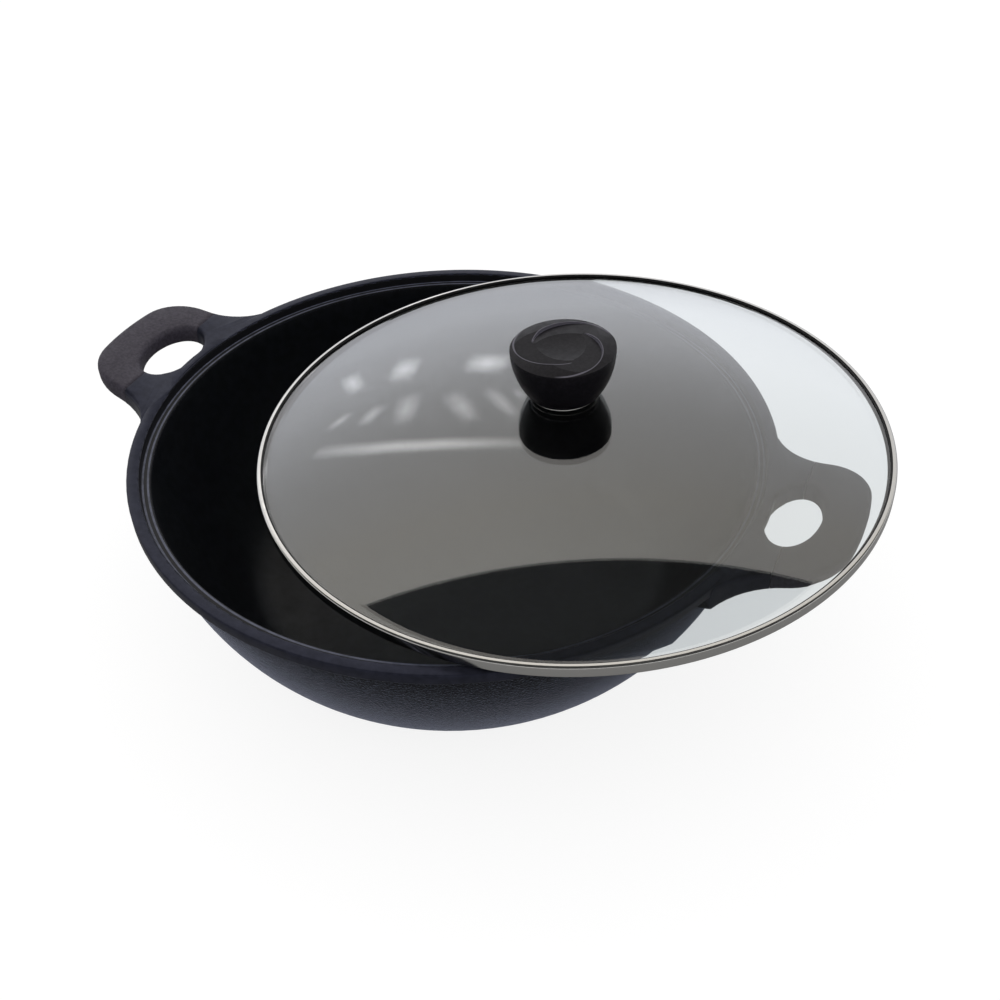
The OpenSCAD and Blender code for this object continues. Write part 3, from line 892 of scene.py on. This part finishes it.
def crest_circle(tree, point, number):
    """How far a point is towards one cutter's deep side, and 1 where it is on its circle."""
    turned = add_node(tree, "Mapping", {
        "Vector": point, "Location": (-swirl_out * MM, 0, 0),
        "Rotation": (0, 0, -swirl_angle(number))})
    radius, parts = from_axis(tree, turned)
    on_circle = add_node(
        tree, "Math", {0: radius, 1: SWIRL_D / 2 * MM, 2: CREST_LINE_W * MM}, operation="COMPARE")
    return parts["Y"], on_circle


def painted_crest_highlights(tree):
    """1 along the crests of the swirl, where the highlight is painted, and 0 elsewhere."""
    own = point_about(tree, knob_place)
    crests = [crest_circle(tree, own, number) for number in range(SWIRL_COUNT)]
    shares = []
    for number, (side, on_circle) in enumerate(crests):
        next_side = crests[(number + 1) % SWIRL_COUNT][0]
        lead = add_node(tree, "Math", {0: side, 1: next_side}, operation="SUBTRACT")
        deeper = add_node(tree, "MapRange", {
            "Value": lead, "From Min": DEEPER_SPAN[0] * MM, "From Max": DEEPER_SPAN[1] * MM})
        deep_side = add_node(tree, "MapRange", {
            "Value": side, "From Min": DEEP_SPAN[0] * MM, "From Max": DEEP_SPAN[1] * MM})
        deep = add_node(tree, "Math", {0: deeper, 1: deep_side}, operation="MULTIPLY")
        shares.append(add_node(tree, "Math", {0: deep, 1: on_circle}, operation="MULTIPLY"))
    total = shares[0]
    for share in shares[1:]:
        total = add_node(tree, "Math", {0: total, 1: share}, operation="MAXIMUM")
    crown = add_node(tree, "MapRange", {
        "Value": add_node(tree, "SeparateXYZ", {0: own}).outputs["Z"],
        "From Min": (edge_z - CROWN_FROM) * MM, "From Max": (edge_z - CROWN_FULL) * MM})
    return add_node(tree, "Math", {0: total, 1: crown}, operation="MULTIPLY")


# The width printed here is that of the painted crest highlights.
print("worn lines are", 2 * CREST_LINE_W, "mm wide")

# %% [markdown]
# Phenolic is a hard moulding plastic with a filler that shows as a slight mottle. On the knob it
# is nearly black with a satin skin. On the grips it is a purplish brown black and more matt. One
# function makes both, so they look like one family.

# %% Moulded phenolic
MOTTLE_SPAN = (0.38, 0.64)
SKIN_SMOOTHER = 0.05
SKIN_ROUGHER = 0.06
SKIN_GRAIN_MM = 0.5
SKIN_BUMP = 0.35
SKIN_DEPTH = 0.05


def phenolic(name, dark, light, rough, level, mottle_mm, crest_light=None):
    """Moulded phenolic: a mottled dark colour under a satin skin with a fine grain."""
    material, tree = new_material(name)
    mottle = uneven(tree, mottle_mm, 4, MOTTLE_SPAN)
    colour = add_node(
        tree, "Mix", {0: mottle, 6: linear(dark), 7: linear(light)}, data_type="RGBA").outputs[2]
    # On the knob this paints the crests lighter, as a painted highlight.
    if crest_light:
        colour = add_node(
            tree, "Mix", {0: crest_light(tree), 6: colour, 7: linear(CREST_HIGHLIGHT_COLOUR)},
            data_type="RGBA").outputs[2]
    skin_rough = (rough - SKIN_SMOOTHER, rough + SKIN_ROUGHER)
    shader = add_node(tree, "BsdfPrincipled", {
        "Base Color": colour, "IOR": 1.5, "Specular IOR Level": level,
        "Roughness": uneven(tree, 3 * mottle_mm, ends=skin_rough),
        "Normal": fine_grain(tree, SKIN_GRAIN_MM, SKIN_BUMP, SKIN_DEPTH)})
    return finish_material(material, shader)


# The knob's crests get a painted highlight.
knob_finish = phenolic(
    "satin_black_phenolic", "#111014", "#1a181d", rough=0.4, level=0.13, mottle_mm=1.5,
    crest_light=painted_crest_highlights)
grip_finish = phenolic(
    "matt_brown_black_phenolic", "#332f38", "#403c46", rough=0.52, level=0.25, mottle_mm=1.6)
dress(knob, knob_finish, "lid", "knob")
dress(collar, steel, "lid", "knob_collar")
dress(gasket, rubber, "lid", "knob_gasket")

# %% [markdown]
# ## The casting
# The bowl, its rim and the arms of its ears are one casting, so their shape stays with the
# construction: its mesh is copied, and each face gets the finish of the zone that it lies in. Its
# outside is black enamel that was sprayed to dry in small pits and beads. They are too many to
# model, so a bump makes them. The bead tops are painted lighter as painted glints, the pits near
# black as painted shade, and a sheen stands for the beads that catch a grazing light.

# %% Hammered coat
BEAD_MM = 0.65
PIT_MM = 1.0
BEAD_DEPTH = 0.3
GLINTS_FROM = 0.56
GLINTS_FULL = 0.68
PIT_SHADE_COLOUR = "#020304"
BEAD_GLINT_COLOUR = "#3e4350"
SHEEN_TINT = "#b9bfd6"


def hammered_coat():
    """Black stove enamel in small beads and pits: painted glints on the tops, painted shade in the
    pits, and a sheen at the edge.
    """
    material, tree = new_material("hammered_black_coat")
    point = add_node(tree, "TexCoord").outputs["Object"]
    beads = add_node(
        tree, "TexNoise", {"Vector": point, "Scale": 1 / (BEAD_MM * MM), "Detail": 3})
    pits = add_node(
        tree, "TexNoise", {"Vector": point, "Scale": 1 / (PIT_MM * MM), "Detail": 1})
    height = add_node(tree, "Math", {0: beads, 1: pits}, operation="ADD")
    bump = add_node(
        tree, "Bump", {"Height": height, "Strength": 1.0, "Distance": BEAD_DEPTH * MM})
    glints = add_node(
        tree, "MapRange", {"Value": beads, "From Min": GLINTS_FROM, "From Max": GLINTS_FULL})
    # The bead tops are painted lighter as glints, and the pits near black as shade.
    colour = add_node(
        tree, "Mix", {0: glints, 6: linear(PIT_SHADE_COLOUR), 7: linear(BEAD_GLINT_COLOUR)},
        data_type="RGBA").outputs[2]
    shader = add_node(tree, "BsdfPrincipled", {
        "Base Color": colour, "Roughness": 0.5, "IOR": 1.5, "Specular IOR Level": 0.08,
        "Sheen Weight": 1.0, "Sheen Roughness": 0.3, "Sheen Tint": linear(SHEEN_TINT),
        "Normal": bump})
    return finish_material(material, shader)


hammered = hammered_coat()

# %% [markdown]
# The rim and the arms are sprayed with satin paint, which follows the faint unevenness of the
# casting. The rounded edges get the same paint in a much lighter colour: a painted highlight for
# the light that their small round catches.

# %% Satin coats
COAT_PATCH_MM = 4
CAST_GRAIN_MM = 0.6
CAST_BUMP = 0.25
CAST_DEPTH = 0.05
COAT_TINT = "#c8d0ff"


def satin_coat(name, dark, light):
    """Sprayed satin paint on cast aluminium, in a colour between two."""
    material, tree = new_material(name)
    share = uneven(tree, COAT_PATCH_MM, 3)
    colour = add_node(
        tree, "Mix", {0: share, 6: linear(dark), 7: linear(light)}, data_type="RGBA").outputs[2]
    shader = add_node(tree, "BsdfPrincipled", {
        "Base Color": colour, "Roughness": 0.36, "IOR": 1.5, "Specular IOR Level": 0.22,
        "Specular Tint": linear(COAT_TINT),
        "Normal": fine_grain(tree, CAST_GRAIN_MM, CAST_BUMP, CAST_DEPTH)})
    return finish_material(material, shader)


satin = satin_coat("satin_coat", "#1c1d24", "#25262f")
# The edges' paint is a painted highlight, much lighter than the satin.
edge_highlight_coat = satin_coat("painted_edge_highlight", "#5a5d70", "#6c6f82")

# %% [markdown]
# The seat is painted darker than the satin rim, as painted shade for the dark things it mirrors,
# and two thin rings on it are painted light, as painted highlights. They have no depth, so the
# material draws them, by the distance from the bowl's axis.

# %% Seat with painted shade and highlight rings
HIGHLIGHT_RING_R = (160.0, 162.6)
HIGHLIGHT_RING_W = 0.5
SEAT_SHADE_COLOUR = "#0a0b0f"
RING_HIGHLIGHT_COLOUR = "#585b6a"
HIGHLIGHT_PATCH_MM = 5
HIGHLIGHT_SPAN = (0.3, 0.6)
HIGHLIGHT_ENDS = (0.55, 1)


def painted_seat_coat():
    """The seat's coat, painted dark as shade, with two thin rings painted light as highlights."""
    material, tree = new_material("seat_painted_shade_and_highlights")
    radius, _ = from_axis(tree, add_node(tree, "TexCoord").outputs["Object"])
    rings = [
        add_node(tree, "Math", {0: radius, 1: r * MM, 2: HIGHLIGHT_RING_W * MM}, operation="COMPARE")
        for r in HIGHLIGHT_RING_R]
    both = add_node(tree, "Math", {0: rings[0], 1: rings[1]}, operation="MAXIMUM")
    patchy = uneven(tree, HIGHLIGHT_PATCH_MM, 3, HIGHLIGHT_SPAN, HIGHLIGHT_ENDS)
    share = add_node(tree, "Math", {0: both, 1: patchy}, operation="MULTIPLY")
    # The seat colour is painted shade, and the ring colour is a painted highlight.
    colour = add_node(
        tree, "Mix", {0: share, 6: linear(SEAT_SHADE_COLOUR), 7: linear(RING_HIGHLIGHT_COLOUR)},
        data_type="RGBA").outputs[2]
    shader = add_node(tree, "BsdfPrincipled", {
        "Base Color": colour, "Roughness": 0.42, "IOR": 1.5, "Specular IOR Level": 0.2})
    return finish_material(material, shader)


shaded_seat = painted_seat_coat()

# %% [markdown]
# The non-stick coat inside is a fluoropolymer. Its index is low, so its gloss is weak, and a
# slow change of roughness keeps the large dark bowl from looking like plastic. Under the base
# the casting is bare, faced on a lathe that leaves rings.

# %% Non-stick coat and turned base
NONSTICK_DARK = "#0a0c0f"
NONSTICK_LIGHT = "#0f1115"
NONSTICK_PATCH_MM = 5
NONSTICK_SPAN = (0.4, 0.6)
NONSTICK_ROUGH = (0.38, 0.46)
SWEEP_MM = 14
ALUMINIUM_COLOUR = "#b9bbbd"
TOOL_LINE_MM = 0.5
TOOL_LINE_BUMP = 0.4
TOOL_LINE_DEPTH = 0.04


def nonstick_coat():
    """A smooth black fluoropolymer coat: a low index, so a weak and soft gloss."""
    material, tree = new_material("smooth_nonstick_coat")
    share = uneven(tree, NONSTICK_PATCH_MM, span=NONSTICK_SPAN)
    colour = add_node(
        tree, "Mix", {0: share, 6: linear(NONSTICK_DARK), 7: linear(NONSTICK_LIGHT)},
        data_type="RGBA").outputs[2]
    shader = add_node(tree, "BsdfPrincipled", {
        "Base Color": colour, "IOR": 1.35, "Specular IOR Level": 0.4,
        "Roughness": uneven(tree, SWEEP_MM, ends=NONSTICK_ROUGH)})
    return finish_material(material, shader)


def turned_aluminium():
    """Bare cast aluminium faced on a lathe, with rings about the bowl's axis."""
    material, tree = new_material("turned_aluminium")
    rings = ring_lines(
        tree, Matrix.Identity(4), TOOL_LINE_MM, TOOL_LINE_BUMP, TOOL_LINE_DEPTH)
    shader = add_node(tree, "BsdfPrincipled", {
        "Base Color": linear(ALUMINIUM_COLOUR), "Metallic": 1.0, "Roughness": 0.34,
        "Normal": rings})
    return finish_material(material, shader)


nonstick = nonstick_coat()
bare = turned_aluminium()

# %% [markdown]
# A cast edge is never sharp, and its small round catches the light. A Bevel modifier rounds the
# edges of the copied mesh, and gives the new faces a lighter paint as a painted highlight. A zone
# is told by where a face lies and which way it looks, in sizes of the construction.

# %% Copies of construction pieces
ROUND_SEGMENTS = 3


def copy_node(node, name):
    """A merged copy of a construction piece's mesh, to be dressed further."""
    clear_selection()
    piece = bpy.data.objects.new(name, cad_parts[node].data.copy())
    piece.data.name = name
    bpy.context.scene.collection.objects.link(piece)
    make_active(piece)
    bpy.ops.object.mode_set(mode="EDIT")
    bpy.ops.mesh.select_all(action="SELECT")
    bpy.ops.mesh.remove_doubles(threshold=MERGE)
    bpy.ops.object.mode_set(mode="OBJECT")
    piece.data.materials.clear()
    return piece


def round_edges(piece, width_mm, degrees, finish):
    """Rounds the edges that turn by more than the angle, and gives them the finish of a slot."""
    make_active(piece)
    modifier = piece.modifiers.new("round", "BEVEL")
    modifier.width = width_mm * MM
    modifier.segments = ROUND_SEGMENTS
    modifier.limit_method = "ANGLE"
    modifier.angle_limit = math.radians(degrees)
    modifier.material = finish
    bpy.ops.object.modifier_apply(modifier=modifier.name)


pan = copy_node("pan_body", "pan_casting")
print(pan.name, "is a copy with", len(pan.data.vertices), "vertices")

# %% Zones of the casting
GROOVE_TOP = 0.6
FLOOR_Z = 4
NECK_Z = 98.0
LEDGE_Z = 99.3
LEDGE_FROM = LEDGE_Z - 1
INNER_R = 159
SEAT_R = 164.2
ARM_R = 168
LOOKS_UP = 0.5
CAST_ROUND = 0.35
SHARP_FROM = 30
HAMMERED, SATIN, SEAT, NONSTICK, BARE, EDGE_HIGHLIGHT = range(6)

for finish in (hammered, satin, shaded_seat, nonstick, bare, edge_highlight_coat):
    pan.data.materials.append(finish)


def zone_of(face):
    """The finish of a face of the casting, by its place and the way it looks."""
    x, y, z = face.center / MM
    r = math.hypot(x, y)
    inward = x * face.normal.x + y * face.normal.y < 0 or face.normal.z > LOOKS_UP
    if z < GROOVE_TOP:
        return BARE
    if FLOOR_Z < z < LEDGE_Z and r < INNER_R and inward:
        return NONSTICK
    if z > LEDGE_FROM and r < SEAT_R and inward:
        return SEAT
    return SATIN if z > NECK_Z or r > ARM_R else HAMMERED


for face in pan.data.polygons:
    face.material_index = zone_of(face)
# The rounded edges take the painted highlight.
round_edges(pan, CAST_ROUND, SHARP_FROM, EDGE_HIGHLIGHT)
smooth(pan)
dress(pan, None, "pan", "pan_body")

# %% [markdown]
# ## The grips and the fasteners
# Each grip is a moulding that slides over the two tongues of its ear, so it keeps the shape of
# the construction. The small pieces keep their own meshes and only get their finishes.

# %% Grips
for side in ("left", "right"):
    grip = copy_node("grip_" + side, "grip_moulding_" + side)
    smooth(grip)
    dress(grip, grip_finish, "pan", "grip_" + side)

# %% [markdown]
# The screws, the washer and the pad share the steel and the silicone of the lid. The insert that
# is moulded into the knob is turned brass, because a thread in phenolic alone would strip.

# %% Fasteners
BRASS_COLOUR = "#c9a24e"
BRASS_GRAIN_MM = 0.3
BRASS_BUMP = 0.3
BRASS_DEPTH = 0.02


def turned_brass():
    """Machined brass: yellow, a little dull, with the fine marks of the tool."""
    material, tree = new_material("turned_brass")
    shader = add_node(tree, "BsdfPrincipled", {
        "Base Color": linear(BRASS_COLOUR), "Metallic": 1.0, "Roughness": 0.3,
        "Normal": fine_grain(tree, BRASS_GRAIN_MM, BRASS_BUMP, BRASS_DEPTH)})
    return finish_material(material, shader)


for node, material in (
        ("grip_screws_left", steel), ("grip_screws_right", steel), ("knob_washer", steel),
        ("knob_screw", steel), ("knob_insert", turned_brass()), ("glass_pad", rubber)):
    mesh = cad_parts[node].data
    mesh.materials.clear()
    mesh.materials.append(material)
    print(node, "is finished in", material.name)
